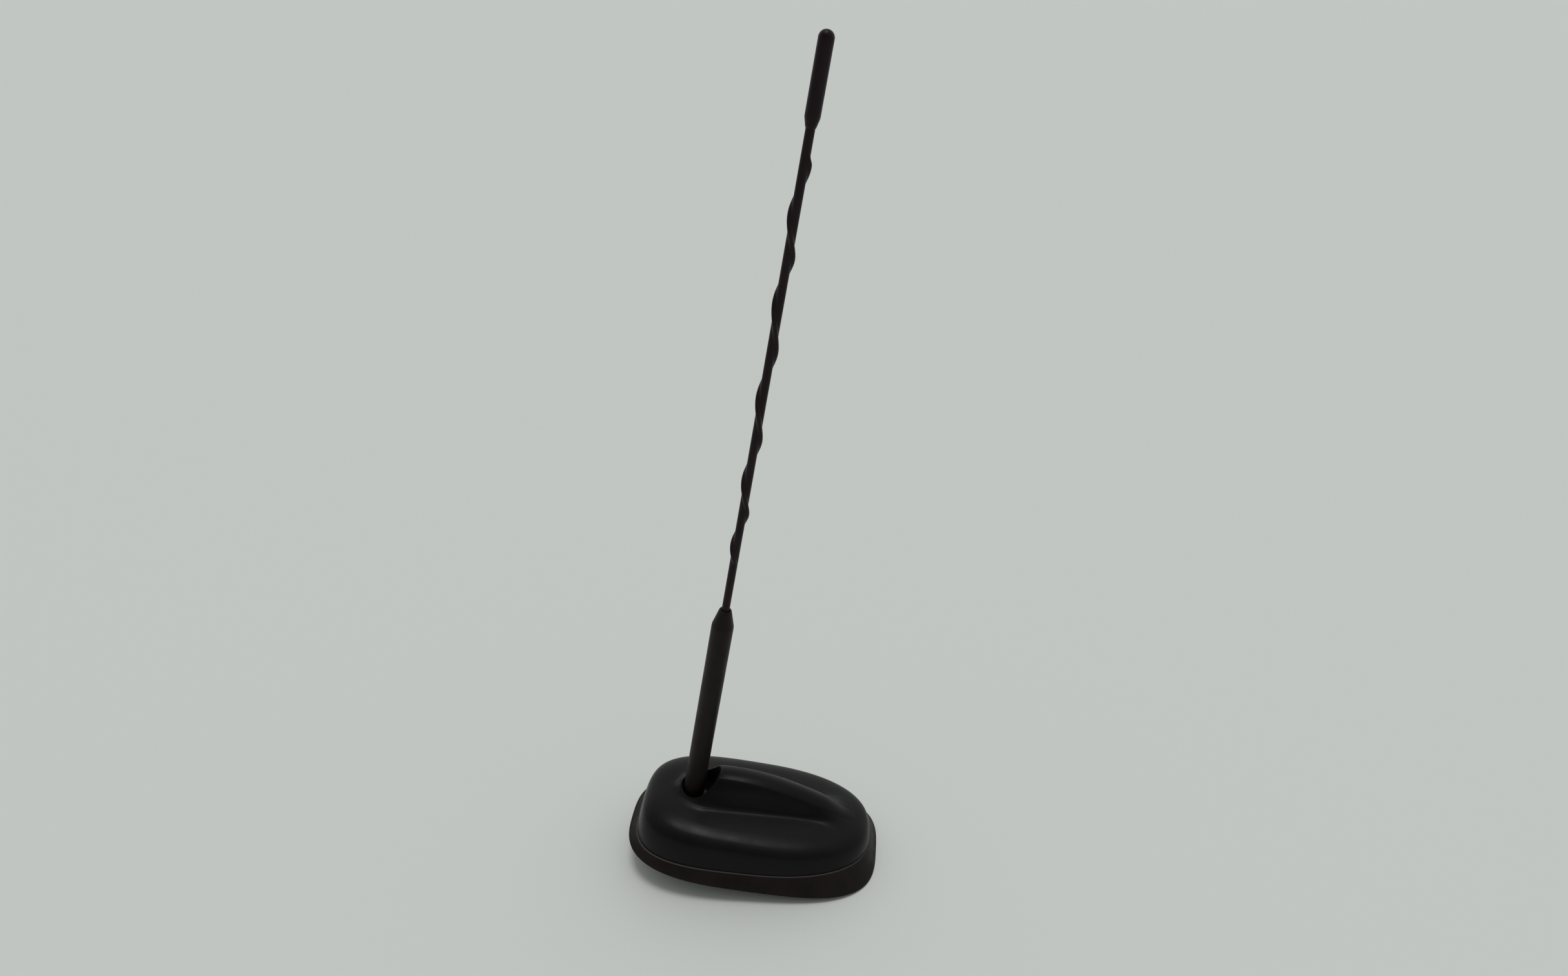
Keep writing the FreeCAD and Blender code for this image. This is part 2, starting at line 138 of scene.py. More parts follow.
# height along the mast, and the turns the rib has made since it last stood in front
RIB_TURNS = np.array([
    (178.0, -0.27), (187.0, 0.0), (212.8, 0.73), (243.0, 1.49), (266.2, 2.0), (299.7, 2.74),
    (325.5, 3.28), (354.0, 4.0), (383.6, 4.73), (396.0, 5.03),
])

CAP_RADIUS = 3.35
CAP_FOOT = 400.1
CAP_LIP = 0.25
CAP_CHAMFER = 0.12
CAP_CONE = 4.1
CAP_TOP = 438.44
CORE_RADIUS = 0.9
CORE_TOP = 424.0

# ---- room the object stands in: it leans on its boss and on the tail of its skirt
ROOM_YAW = math.radians(-6.22)
ROOM_TILT = math.radians(6.5)
ROOM_PLACE = Vector((-48.81, 488.34, 10.73)) * MM
CAMERA_HEIGHT = 510.0 * MM
CAMERA_TURN = (60.556, 1.173, -0.319)
CAMERA_LENS = 26.68
WORLD_DIM = 0.17
WORLD_BRIGHT = 0.76


# ---- small helpers ------------------------------------------------------
MERGED_WITHIN = 0.002 * MM


def grid_piece(name, points, wrap_rows=True):
    """A mesh from a (rows, columns, 3) grid in millimetres. Columns always wrap round; rows may."""
    rows, columns = points.shape[:2]
    index = np.arange(rows * columns).reshape(rows, columns)
    low = index if wrap_rows else index[:-1]
    high = np.roll(index, -1, axis=0) if wrap_rows else index[1:]
    faces = np.stack([low, np.roll(low, -1, axis=1), np.roll(high, -1, axis=1), high], axis=-1)
    mesh = bpy.data.meshes.new(name)
    metres = (points + np.array([BASE_SHIFT, 0.0, 0.0])) * MM
    mesh.from_pydata(metres.reshape(-1, 3).tolist(), [], faces.reshape(-1, 4).tolist())
    mesh.update()
    work = bmesh.new()
    work.from_mesh(mesh)
    bmesh.ops.remove_doubles(work, verts=work.verts, dist=MERGED_WITHIN)
    if not wrap_rows:
        ends = [edge for edge in work.edges if edge.is_boundary]
        bmesh.ops.holes_fill(work, edges=ends, sides=0)
    bmesh.ops.recalc_face_normals(work, faces=work.faces)
    work.to_mesh(mesh)
    work.free()
    mesh.polygons.foreach_set("use_smooth", [True] * len(mesh.polygons))
    piece = bpy.data.objects.new(name, mesh)
    bpy.context.scene.collection.objects.link(piece)
    return piece


def smooth_by_angle(piece, degrees):
    piece.data.set_sharp_from_angle(angle=math.radians(degrees))


def on_mast(radius, angle, height, shift=0.0):
    """Points round the raked mast line, or round a line beside it, shifted towards the tail."""
    x = radius * np.cos(angle) + shift
    y = radius * np.sin(angle)
    upright = math.cos(MAST_RAKE)
    lean = math.sin(MAST_RAKE)
    places = np.broadcast_arrays(MAST_X + x * upright + height * lean, y, height * upright - x * lean)
    return np.stack(places, axis=-1)


def place(piece, body, slot, *replaced):
    """The piece rides on its body and stands for the CAD nodes it replaces; slot is not used."""
    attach(piece, body)
    if replaced:
        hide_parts(*replaced)
    return piece


def rounded_profile(corners, steps=5):
    """A closed (radius, height) outline; each corner is (radius, height, rounding)."""
    points = []
    count = len(corners)
    for i, (r, z, size) in enumerate(corners):
        here = np.array([r, z])
        if size <= 0:
            points.append(here)
            continue
        before = np.array(corners[i - 1][:2]) - here
        after = np.array(corners[(i + 1) % count][:2]) - here
        start = here + before / np.linalg.norm(before) * size
        end = here + after / np.linalg.norm(after) * size
        for k in range(steps + 1):
            t = k / steps
            points.append((1 - t) ** 2 * start + 2 * t * (1 - t) * here + t * t * end)
    return np.array(points)


def subdivided(profile, longest):
    """Adds points along a closed outline so that no step is longer than the given length."""
    out = []
    for a, b in zip(profile, np.roll(profile, -1, axis=0)):
        cuts = max(1, int(np.ceil(np.linalg.norm(b - a) / longest)))
        out += [a + (b - a) * k / cuts for k in range(cuts)]
    return np.array(out)


def turned_on_mast(name, corners, columns=72, longest=6.0):
    """A solid of revolution about the mast line."""
    profile = subdivided(rounded_profile(corners), longest)
    angle = np.linspace(0, 2 * math.pi, columns, endpoint=False)
    return grid_piece(name, on_mast(profile[:, :1], angle[None, :], profile[:, 1:]))


# ---- cover --------------------------------------------------------------
def oval_reach(half_length, half_width, x, y, powers=COVER_POWERS):
    """How far out (x, y) lies: 1 on the oval of that size."""
    power = np.where(x < 0, powers[0], powers[1])
    along = np.abs(x / half_length)
    across = np.abs(y / (half_width * (1 - OUTLINE_TAPER * x / half_length)))
    return (along**power + across**power) ** (1 / power)


def oval_lost(x, y, inset=0.0):
    """Place on the cover's profile of the oval that passes through (x, y)."""
    low = np.zeros_like(x)
    high = np.full_like(x, (COVER_HALF_WIDTH - inset - 0.05) / WIDTH_LOSS)
    for _ in range(40):
        middle = (low + high) / 2
        length = COVER_HALF_LENGTH - inset - middle * LENGTH_LOSS
        width = COVER_HALF_WIDTH - inset - middle * WIDTH_LOSS
        outside = oval_reach(np.maximum(length, 0.05), np.maximum(width, 0.05), x, y) < 1
        low = np.where(outside, middle, low)
        high = np.where(outside, high, middle)
    return (low + high) / 2


def side_height(lost, x):
    """Height of the cover where its outline has shrunk by so much."""
    gained = smooth_along(lost, SIDE_LOST, SIDE_RISE)
    rise = SEAM_RISE - (SEAM_RISE + CROWN_FALL) * gained / (CROWN_Z - SEAM_Z)
    return SEAM_Z + gained + rise * x


def crown(x, y, inset=0.0):
    """Height of the cover's side and crown over (x, y)."""
    return side_height(oval_lost(x, y, inset), x) - inset


def ridge_flank(share):
    """Share of the ridge's height, from 1 at its top to 0 at its foot, with both corners bent softly."""
    bend = RIDGE_BLEND
    share = np.clip(share, -bend, 1 + bend)
    top = 1 - (share + bend) ** 2 / (4 * bend)
    foot = (1 + bend - share) ** 2 / (4 * bend)
    return np.where(share < bend, top, np.where(share <= 1 - bend, 1 - share, foot))


def ridge(x, y, inset=0.0):
    """Height of the ridge over (x, y); beyond its flanks it falls away under the crown."""
    columns = [smooth_along(x, RIDGE[:, 0], RIDGE[:, k]) for k in range(1, 5)]
    top, top_width, foot, foot_width = columns
    top = top - inset
    foot = foot - inset
    top_width = np.maximum(top_width - 0.6 * inset, 0.4)
    foot_width = np.maximum(foot_width - 1.2 * inset, 1.0)
    share = (np.abs(y) - top_width) / (foot_width - top_width)
    height = foot + (top - foot) * ridge_flank(share)
    height = height + TOP_RISE - TOP_CROWNING * np.minimum(np.abs(y) / top_width, 1) ** 2
    beyond = np.maximum(np.abs(y) - foot_width, 0)
    return height - RIDGE_CROWNING * (y / foot_width) ** 2 - BURIED_SLOPE * beyond


def smooth_along(x, knots, values):
    """Smooth cubic through the knots, held at both ends."""
    slope = np.gradient(values, knots)
    x = np.clip(x, knots[0], knots[-1])
    i = np.clip(np.searchsorted(knots, x, side="right") - 1, 0, len(knots) - 2)
    span = knots[i + 1] - knots[i]
    t = (x - knots[i]) / span
    h00 = 2 * t**3 - 3 * t**2 + 1
    h10 = t**3 - 2 * t**2 + t
    h01 = -2 * t**3 + 3 * t**2
    h11 = t**3 - t**2
    return h00 * values[i] + h10 * span * slope[i] + h01 * values[i + 1] + h11 * span * slope[i + 1]


def cover_top(x, y, inset=0.0):
    """Cover and ridge together, with a soft fillet where they meet."""
    under = crown(x, y, inset)
    past_ends = np.maximum(RIDGE[0, 0] - x, 0) + np.maximum(x - RIDGE[-1, 0], 0)
    over = ridge(x, y, inset) - RIDGE_END_SLOPE * past_ends
    gap = (over - under) / FOOT_BLEND
    return under + FOOT_BLEND * np.log1p(np.exp(np.clip(gap, -40, 40)))


def pocket_middle():
    """Where the pocket's axis passes through the crown."""
    return MAST_X + POCKET_SHIFT + CROWN_Z * math.tan(MAST_RAKE)


def ray_to_oval(angle, half_length, half_width):
    """Points where rays from the pocket's middle meet the oval, in plan."""
    low = np.zeros_like(angle)
    high = np.full_like(angle, 2.1 * COVER_HALF_LENGTH)
    for _ in range(50):
        middle = (low + high) / 2
        inside = oval_reach(half_length, half_width, pocket_middle() + middle * np.cos(angle),
                            middle * np.sin(angle)) < 1
        low = np.where(inside, middle, low)
        high = np.where(inside, high, middle)
    reach = (low + high) / 2
    return pocket_middle() + reach * np.cos(angle), reach * np.sin(angle)


def pocket_height_of_cover(angle, radius, inset=0.0):
    """Height along the pocket's axis at which a line parallel to it leaves the cover."""
    height = np.full_like(angle, CROWN_Z)
    for _ in range(60):
        p = on_mast(radius, angle, height, POCKET_SHIFT)
        z = cover_top(p[..., 0], p[..., 1], inset)
        height = height + 0.5 * (z - p[..., 2])
    return height


def cover_angles():
    """Rays from the pocket, closer together towards the tail, where they cross the ridge."""
    even = np.linspace(-math.pi, math.pi, 560, endpoint=False)
    crowding = 0.62
    return even - crowding * np.sin(even)


def shrunk_outline(angle, lost, inset=0.0):
    """The cover's outline where it has shrunk by so much, up its side or over its crown."""
    length = COVER_HALF_LENGTH - inset - lost * LENGTH_LOSS
    return ray_to_oval(angle, length, COVER_HALF_WIDTH - inset - lost * WIDTH_LOSS)


def pocket_rows(angle):
    """Socket hole, pocket floor and wall, up to the rounded rim."""
    rows = []
    mouth = SOCKET_HOLE + HOLE_CHAMFER
    for radius, height in ((SOCKET_HOLE, POCKET_FLOOR - POCKET_FLOOR_THICKNESS),
                           (SOCKET_HOLE, POCKET_FLOOR - HOLE_CHAMFER), (mouth, POCKET_FLOOR)):
        rows.append(on_mast(radius, angle, np.full_like(angle, height)))
    corner = POCKET_RADIUS - POCKET_CORNER
    wall_foot = POCKET_FLOOR + POCKET_CORNER
    for w in np.linspace(0.15, 1.0, 6):
        radius = mouth + (corner - mouth) * w
        rows.append(on_mast(radius, angle, np.full_like(angle, POCKET_FLOOR), POCKET_SHIFT * w))
    for turn in np.linspace(0, math.pi / 2, 6)[1:]:
        radius = corner + POCKET_CORNER * math.sin(turn)
        height = wall_foot - POCKET_CORNER * math.cos(turn)
        rows.append(on_mast(radius, angle, np.full_like(angle, height), POCKET_SHIFT))
    wall_top = pocket_height_of_cover(angle, POCKET_RADIUS + RIM_ROUND) - RIM_ROUND
    for w in np.linspace(0.08, 1.0, 14):
        rows.append(on_mast(POCKET_RADIUS, angle, wall_foot + (wall_top - wall_foot) * w, POCKET_SHIFT))
    for turn in np.linspace(0, math.pi / 2, 6)[1:]:
        rows.append(on_mast(POCKET_RADIUS + RIM_ROUND * (1 - math.cos(turn)), angle,
                            wall_top + RIM_ROUND * math.sin(turn), POCKET_SHIFT))
    return rows


def outer_rows(angle, rim):
    """From the pocket's rim over the crown, down the side, and round the tongue under it."""
    rows = []
    shoulder = np.stack(shrunk_outline(angle, SHOULDER_LOST), axis=-1)
    for w in np.linspace(0, 1, 110)[1:] ** 1.25:
        plan = rim[:, :2] * (1 - w) + shoulder * w
        rows.append(np.column_stack([plan, cover_top(plan[:, 0], plan[:, 1])]))
    for w in np.linspace(1, 0, 26)[1:]:
        lost = SHOULDER_LOST * w**1.5
        x, y = shrunk_outline(angle, lost)
        rows.append(np.column_stack([x, y, np.maximum(side_height(lost, x), SEAM_Z + SEAM_RISE * x + 0.35)]))
    tongue = WALL - TONGUE_OUTSET + 0.05
    for inward, lift in ((0.12, 0.1), (0.35, 0.0), (tongue, 0.0)):
        x, y = ray_to_oval(angle, COVER_HALF_LENGTH - inward, COVER_HALF_WIDTH - inward)
        rows.append(np.column_stack([x, y, SEAM_Z + SEAM_RISE * x + lift]))
    for inward in (tongue, WALL):
        x, y = ray_to_oval(angle, COVER_HALF_LENGTH - inward, COVER_HALF_WIDTH - inward)
        rows.append(np.column_stack([x, y, np.full_like(x, TONGUE_Z)]))
    rows.append(np.column_stack([x, y, SEAM_Z + SEAM_RISE * x]))
    return rows


def inner_rows(angle):
    """The hollow inside, back up to the pocket's tube and down it."""
    rows = []
    for lost in (0.5, 1.4, 2.7, 4.4, 6.6, SHOULDER_LOST):
        x, y = shrunk_outline(angle, lost, WALL)
        rows.append(np.column_stack([x, y, crown(x, y, WALL)]))
    inner = rows[-1][:, :2]
    tube_top = pocket_height_of_cover(angle, POCKET_TUBE_RADIUS, WALL)
    tube_edge = on_mast(POCKET_TUBE_RADIUS, angle, tube_top, POCKET_SHIFT)[:, :2]
    for w in np.linspace(0, 1, 40)[1:]:
        plan = inner * (1 - w) + tube_edge * w
        rows.append(np.column_stack([plan, cover_top(plan[:, 0], plan[:, 1], WALL)]))
    tube_foot = POCKET_FLOOR - POCKET_FLOOR_THICKNESS
    for w in (0.3, 0.6, 1.0):
        rows.append(on_mast(POCKET_TUBE_RADIUS, angle, tube_top + (tube_foot - tube_top) * w, POCKET_SHIFT))
    for radius, share in TUBE_FOOT_RINGS:
        rows.append(on_mast(radius, angle, np.full_like(angle, tube_foot), POCKET_SHIFT * share))
    return rows


def build_cover():
    """One closed shell: pocket, outer face and inner face, on rays from the pocket's middle."""
    angle = cover_angles()
    rows = pocket_rows(angle)
    rows += outer_rows(angle, rows[-1])
    rows += inner_rows(angle)
    piece = grid_piece("cover_shell", np.array(rows))
    smooth_by_angle(piece, 38)
    return piece


cover = build_cover()
place(cover, "base", "cover_plastic", "base_cover")


# ---- rubber skirt -------------------------------------------------------
def oval_row(half_length, half_width, z, turn, powers=COVER_POWERS, rise=0.0):
    """A ring on the oval of that size, at z over the base's middle and rising towards the tail."""
    power = 2 / np.where(np.cos(turn) < 0, powers[0], powers[1])
    along = np.sign(np.cos(turn)) * np.abs(np.cos(turn)) ** power
    across = np.sign(np.sin(turn)) * np.abs(np.sin(turn)) ** power
    y = half_width * (1 - OUTLINE_TAPER * along) * across
    return np.column_stack([half_length * along, y, z + rise * half_length * along])


def skirt_row(out, z, turn):
    """One row of the skirt; its outline and slope go from the foot's to the seam's."""
    share = z / SEAM_Z
    powers = [foot * (1 - share) + top * share for foot, top in zip(FOOT_POWERS, COVER_POWERS)]
    return oval_row(COVER_HALF_LENGTH + out, COVER_HALF_WIDTH + out, z, turn, powers, SEAM_RISE * share)


def build_gasket_piece():
    """Flared skirt with a lip at the seam, a seat for the cover's tongue, and a flat web under the plate."""
    even = np.linspace(0, 2 * math.pi, 480, endpoint=False)
    crowding = 0.2
    turn = even - crowding * np.sin(4 * even)
    # outset from the cover, height and rounding: lip, flare, foot and the web's underside
    outside = rounded_profile([
        (-1.2, 7.85, 0.0), (0.1, 7.98, 0.1), (0.75, 7.6, 0.12), (0.85, 7.0, 0.3), (1.75, 5.2, 0.9),
        (3.35, 2.6, 1.2), (5.02, 0.75, 0.3), (5.02, 0.0, 0.2), (1.0, 0.0, 0.0),
    ])
    rows = [skirt_row(TONGUE_OUTSET - WALL, 7.85, turn)]
    rows += [skirt_row(out, z, turn) for out, z in outside[1:-1]]
    for w in (0.25, 0.5, 0.75):
        powers = [foot * (1 - w) + window * w for foot, window in zip(FOOT_POWERS, WINDOW_POWERS)]
        length = COVER_HALF_LENGTH + (WINDOW_HALF_LENGTH - COVER_HALF_LENGTH) * w
        width = COVER_HALF_WIDTH + (WINDOW_HALF_WIDTH - COVER_HALF_WIDTH) * w
        rows.append(oval_row(length, width, 0.0, turn, powers))
    for more, z in ((0.3, 0.0), (0.0, 0.3), (0.0, 2.5)):
        rows.append(oval_row(WINDOW_HALF_LENGTH + more, WINDOW_HALF_WIDTH + more, z, turn, WINDOW_POWERS))
    for out, z in ((-WALL, 2.5), (-WALL, TONGUE_Z), (TONGUE_OUTSET - WALL, TONGUE_Z)):
        rows.append(oval_row(COVER_HALF_LENGTH + out, COVER_HALF_WIDTH + out, z, turn))
    piece = grid_piece("skirt_rubber", np.array(rows))
    smooth_by_angle(piece, 42)
    return piece


skirt = build_gasket_piece()
place(skirt, "base", "gasket_rubber", "base_gasket")


# ---- mast ---------------------------------------------------------------
def eased(value, low, high):
    """From 0 at low to 1 at high, level at both."""
    share = np.clip((value - low) / (high - low), 0, 1)
    return share * share * (3 - 2 * share)


def build_whip():
    """Thin skin with one raised spiral, faired into it and faded out at both ends."""
    angle = np.linspace(-math.pi, math.pi, 64, endpoint=False)
    heights = np.concatenate([
        np.linspace(BARREL_TOP, RIB_FOOT - 8, 60, endpoint=False),
        np.linspace(RIB_FOOT - 8, RIB_TOP + 6, 560, endpoint=False),
        np.linspace(RIB_TOP + 6, WHIP_TOP, 8),
    ])
    rows = []
    for z in heights:
        turns = float(smooth_along(np.array([z]), RIB_TURNS[:, 0], RIB_TURNS[:, 1])[0])
        front = math.radians(-90) - 2 * math.pi * turns
        away = np.abs((angle - front + math.pi) % (2 * math.pi) - math.pi) / RIB_HALF_ANGLE
        bump = np.where(away < 1, (1 + np.cos(math.pi * np.clip(away, 0, 1))) / 2, 0) ** 0.8
        fade = eased(z, RIB_FOOT - RIB_FADE, RIB_FOOT + RIB_FADE)
        fade = fade * (1 - eased(z, RIB_TOP - RIB_FADE, RIB_TOP + 2))
        rows.append(on_mast(WHIP_RADIUS + RIB_HEIGHT * fade * bump, angle, np.full_like(angle, z)))
    for z in (WHIP_TOP, BARREL_TOP):
        rows.append(on_mast(WHIP_BORE, angle, np.full_like(angle, z)))
    piece = grid_piece("whip_skin", np.array(rows))
    smooth_by_angle(piece, 40)
    return piece


whip = build_whip()
place(whip, "mast", "whip_skin", "mast_jacket")

grip = turned_on_mast("grip_sleeve", [
    (COLLAR_RADIUS, GRIP_FOOT, 0.0),
    (GRIP_RADIUS, GRIP_FOOT, 0.5),
    (GRIP_RADIUS, GRIP_TOP, 0.9),
    (3.4, GRIP_CONE_TOP - 0.8, 0.4),
    (3.1, GRIP_CONE_TOP, 0.45),
    (2.45, GRIP_CONE_TOP, 0.2),
    (WHIP_RADIUS, GRIP_CONE_TOP - 0.45, 0.0),
    (WHIP_RADIUS, BARREL_TOP, 0.0),
    (BARREL_RADIUS, BARREL_TOP, 0.0),
    (BARREL_RADIUS, COLLAR_TOP, 0.0),
    (COLLAR_RADIUS, COLLAR_TOP, 0.0),
])
smooth_by_angle(grip, 40)
place(grip, "mast", "grip_rubber", "mast_grip")


def build_cap_piece():
    """Round-ended cap with the sockets for the skin and the core."""
    ball = CAP_TOP - CAP_RADIUS
    angle = np.linspace(0, 2 * math.pi, 72, endpoint=False)
    outline = [(0.02, CORE_TOP), (CORE_RADIUS, CORE_TOP), (CORE_RADIUS, WHIP_TOP), (WHIP_RADIUS, WHIP_TOP)]
    cone_foot = np.array([WHIP_RADIUS + CAP_LIP, CAP_FOOT + CAP_CHAMFER])
    cone_top = np.array([CAP_RADIUS - CAP_CHAMFER, CAP_FOOT + CAP_CONE - 0.3])
    outline += [(WHIP_RADIUS, CAP_FOOT), (WHIP_RADIUS + CAP_CHAMFER, CAP_FOOT)]
    outline += [tuple(cone_foot + (cone_top - cone_foot) * w) for w in (0.0, 0.35, 0.7, 1.0)]
    outline += [(CAP_RADIUS - 0.03, CAP_FOOT + CAP_CONE + 0.3), (CAP_RADIUS, CAP_FOOT + CAP_CONE + 1.0)]
    outline += [(CAP_RADIUS, z) for z in np.linspace(CAP_FOOT + CAP_CONE + 5, ball, 7)]
    for k in range(1, 19):
        turn = math.pi / 2 * k / 18
        outline.append((max(CAP_RADIUS * math.cos(turn), 0.02), ball + CAP_RADIUS * math.sin(turn)))
    rows = [on_mast(r, angle, np.full_like(angle, z)) for r, z in outline]
    piece = grid_piece("tip_cap_round", np.array(rows), wrap_rows=False)
    smooth_by_angle(piece, 40)
    return piece


cap = build_cap_piece()
place(cap, "mast", "cap_plastic", "mast_tip_cap")


# ---- materials ----------------------------------------------------------
# painted light: the bottom of the pocket painted paler, standing in for the light that reaches it
POCKET_PAINTED_LIGHT_MIDDLE = on_mast(0.0, 0.0, POCKET_FLOOR + 1.0, 0.7 * POCKET_SHIFT)
POCKET_PAINTED_LIGHT_PLACE = (POCKET_PAINTED_LIGHT_MIDDLE + np.array([BASE_SHIFT, 0.0, 0.0])) * MM
POCKET_PAINTED_LIGHT_REACH = 9.5 * MM
POCKET_PAINTED_LIGHT_FADE = 13.5 * MM
POCKET_PAINTED_LIGHT_COLOUR = (0.05, 0.045, 0.042)
# painted highlight: the skirt's lip painted pale where the cover meets it, as the light line along the seam;
# heights are square to the sloping seam
SEAM_MIDDLE = SEAM_Z - SEAM_RISE * BASE_SHIFT
LIP_HIGHLIGHT_FROM = (SEAM_MIDDLE - 0.3) * MM
LIP_HIGHLIGHT_FULL = (SEAM_MIDDLE - 0.2) * MM
LIP_HIGHLIGHT_COLOUR = (0.06, 0.054, 0.051)
# how much lighter worn edges are painted, partly as wear and partly as a painted highlight, how much
# smoother they are, and how far the gloss wanders
EDGE_WEAR_AND_HIGHLIGHT = 1.5
WORN_SMOOTHER = 0.3
GLOSS_SPREAD = 0.07
FLECK_SIZE = 0.0011
SCRATCH_STRETCH = (60.0, 900.0, 900.0)
SCRATCH_TURN = (0.0, 0.0, 0.5)


class Recipe:
    """The nodes of one material, and short ways to add to them."""

    def __init__(self, name):
        self.material = bpy.data.materials.new(name)
        self.material.use_nodes = True
        self.tree = self.material.node_tree
        self.shader = self.tree.nodes["Principled BSDF"]
        self.where = self.add("ShaderNodeTexCoord").outputs["Object"]

    def add(self, kind, operation=None, **settings):
        node = self.tree.nodes.new(kind)
        if operation:
            node.operation = operation
        for socket, value in settings.items():
            node.inputs[socket.replace("_", " ")].default_value = value
        return node

    def link(self, source, socket):
        self.tree.links.new(source, socket)

    def noise(self, size, detail=3.0, rough=0.55):
        node = self.add("ShaderNodeTexNoise", Scale=1.0 / size, Detail=detail, Roughness=rough)
        self.link(self.where, node.inputs["Vector"])
        return node.outputs["Fac"]

    def ranged(self, value, low, high, out_low=0.0, out_high=1.0):
        node = self.add("ShaderNodeMapRange", From_Min=low, From_Max=high, To_Min=out_low, To_Max=out_high)
        self.link(value, node.inputs["Value"])
        return node.outputs["Result"]

    def mixed(self, factor, first, second):
        """Blends two colours, each a tuple or another node's output."""
        node = self.add("ShaderNodeMix")
        node.data_type = "RGBA"
        self.link(factor, node.inputs["Factor"])
        for socket, value in ((node.inputs[6], first), (node.inputs[7], second)):
            if isinstance(value, tuple):
                socket.default_value = (*value, 1.0)
            else:
                self.link(value, socket)
        return node.outputs[2]


def paint_pocket_light(recipe, tint):
    """Painted light in the bottom of the pocket: a paler colour there, thinning out towards its rim."""
    away = recipe.add("ShaderNodeVectorMath", "DISTANCE")
    away.inputs[1].default_value = POCKET_PAINTED_LIGHT_PLACE
    recipe.link(recipe.where, away.inputs[0])
    painted_light_share = recipe.ranged(away.outputs["Value"], POCKET_PAINTED_LIGHT_REACH, POCKET_PAINTED_LIGHT_FADE, 1.0, 0.0)
    return recipe.mixed(painted_light_share, tint, POCKET_PAINTED_LIGHT_COLOUR)


def paint_lip_highlight(recipe, tint):
    """Painted highlight on the skirt's lip: pale above a plane that slopes with the seam."""
    height = recipe.add("ShaderNodeVectorMath", "DOT_PRODUCT")
    height.inputs[1].default_value = (-SEAM_RISE, 0.0, 1.0)
    recipe.link(recipe.where, height.inputs[0])
    lip = recipe.ranged(height.outputs["Value"], LIP_HIGHLIGHT_FROM, LIP_HIGHLIGHT_FULL)
    return recipe.mixed(lip, tint, LIP_HIGHLIGHT_COLOUR)


def with_scratches(recipe, height, depth):
    """Fine scratches, all lying much the same way."""
    stretch = recipe.add("ShaderNodeMapping", Scale=SCRATCH_STRETCH, Rotation=SCRATCH_TURN)
    recipe.link(recipe.where, stretch.inputs["Vector"])
    lines = recipe.add("ShaderNodeTexNoise", Scale=1.0, Detail=2.0)
    recipe.link(stretch.outputs["Vector"], lines.inputs["Vector"])
    cut = recipe.ranged(lines.outputs["Fac"], 0.68, 0.72, 0.0, -depth)
    total = recipe.add("ShaderNodeMath", "ADD")
    recipe.link(height, total.inputs[0])
    recipe.link(cut, total.inputs[1])
    return total.outputs["Value"]


def surface(slot, colour, roughness, metallic=0.0, spread=0.25, patch=0.02, grain=0.0003, bump=0.25,
            bump_depth=0.00003, fleck=0.0, fleck_colour=(0.3, 0.28, 0.25), scratch=0.0, specular=0.5,
            pocket_light_painted=False, lip_highlight_painted=False):
    """Moulded, cast or turned finish: patchy colour, uneven gloss, grain, flecks, scratches, and edges
    painted lighter, partly as wear and partly as a painted highlight.

    Sizes are in metres: patch for the colour's patches, grain for the surface's relief.
    """
    recipe = Recipe(f"{slot}_look")
    shader = recipe.shader
    shader.inputs["Metallic"].default_value = metallic
    shader.inputs["Specular IOR Level"].default_value = specular

    dark = tuple(c * (1 - spread) for c in colour)
    light = tuple(min(1.0, c * (1 + spread)) for c in colour)
    worn_and_highlit = tuple(min(1.0, c * EDGE_WEAR_AND_HIGHLIGHT) for c in colour)
    tint = recipe.mixed(recipe.ranged(recipe.noise(patch), 0.3, 0.7), dark, light)
    if fleck > 0:
        specks = recipe.ranged(recipe.noise(FLECK_SIZE, 5.0, 0.7), 0.66, 0.74, 0.0, fleck)
        tint = recipe.mixed(specks, tint, fleck_colour)
    # painted light: the pocket's bottom painted paler
    if pocket_light_painted:
        tint = paint_pocket_light(recipe, tint)
    # painted highlight: a pale line on the skirt's lip
    if lip_highlight_painted:
        tint = paint_lip_highlight(recipe, tint)
    # convex edges painted lighter, partly as wear and partly as a painted highlight
    edges = recipe.ranged(recipe.add("ShaderNodeNewGeometry").outputs["Pointiness"], 0.52, 0.58)
    recipe.link(recipe.mixed(edges, tint, worn_and_highlit), shader.inputs["Base Color"])

    gloss = recipe.ranged(recipe.noise(patch * 0.35, 4.0), 0.25, 0.75,
                          roughness - GLOSS_SPREAD, roughness + GLOSS_SPREAD)
    polish = recipe.add("ShaderNodeMath", "MULTIPLY_ADD")
    polish.inputs[1].default_value = -WORN_SMOOTHER * roughness
    recipe.link(edges, polish.inputs[0])
    recipe.link(gloss, polish.inputs[2])
    recipe.link(polish.outputs["Value"], shader.inputs["Roughness"])

    height = recipe.noise(grain, 2.0, 0.6)
    if scratch > 0:
        height = with_scratches(recipe, height, scratch)
    relief = recipe.add("ShaderNodeBump", Strength=bump, Distance=bump_depth)
    recipe.link(height, relief.inputs["Height"])
    recipe.link(relief.outputs["Normal"], shader.inputs["Normal"])
    return recipe.material


